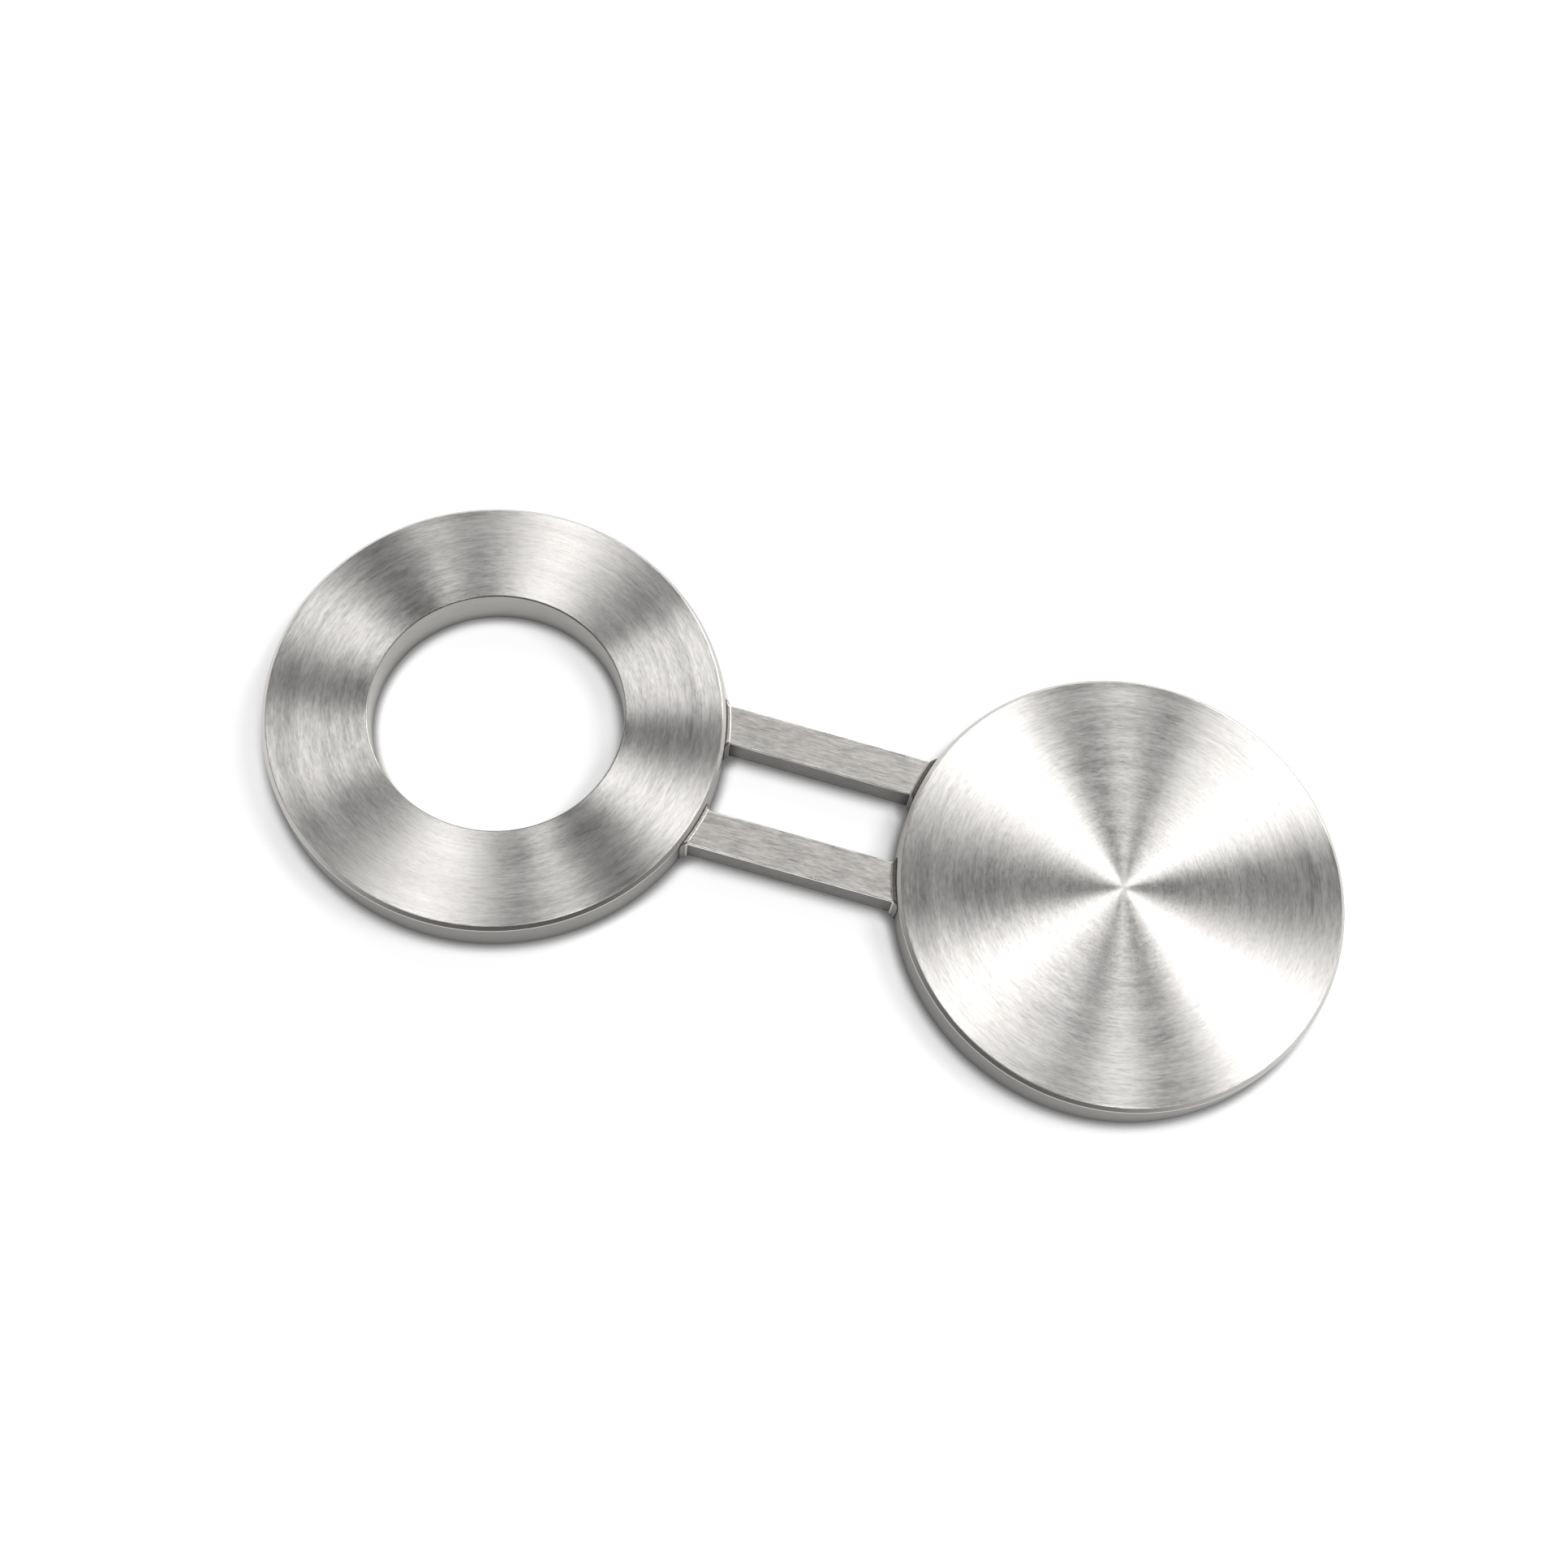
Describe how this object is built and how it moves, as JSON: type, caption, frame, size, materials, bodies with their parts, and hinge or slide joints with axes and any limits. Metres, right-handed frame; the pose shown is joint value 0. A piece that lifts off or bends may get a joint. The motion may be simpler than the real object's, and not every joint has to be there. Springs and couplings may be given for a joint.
{
  "type": "spectacle blind",
  "caption": "Figure-8 line blank: an open spacer ring and a solid blind disc of one thickness, joined rim to rim by a pair of welded flat tie bars.",
  "frame": {"origin": "in the bottom face plane, midway between the axes of the spacer ring and the blind disc", "axes": "+X from the spacer ring to the blind disc, +Z normal to the sealing faces, up as it lies flat"},
  "size_m": [0.46, 0.19, 0.02],
  "materials": {
    "turned_steel": "fine concentric turning lay",
    "mill_steel": "matt mill grain along the bar",
    "weld_steel": "dressed weld bead"
  },
  "bodies": {
    "root": {"spacer_ring": "turned_steel", "blind_disc": "turned_steel", "tie_bar_front": "mill_steel", "tie_bar_back": "mill_steel", "weld_ring_front": "weld_steel", "weld_ring_back": "weld_steel", "weld_disc_front": "weld_steel", "weld_disc_back": "weld_steel"}
  },
  "joints": []
}
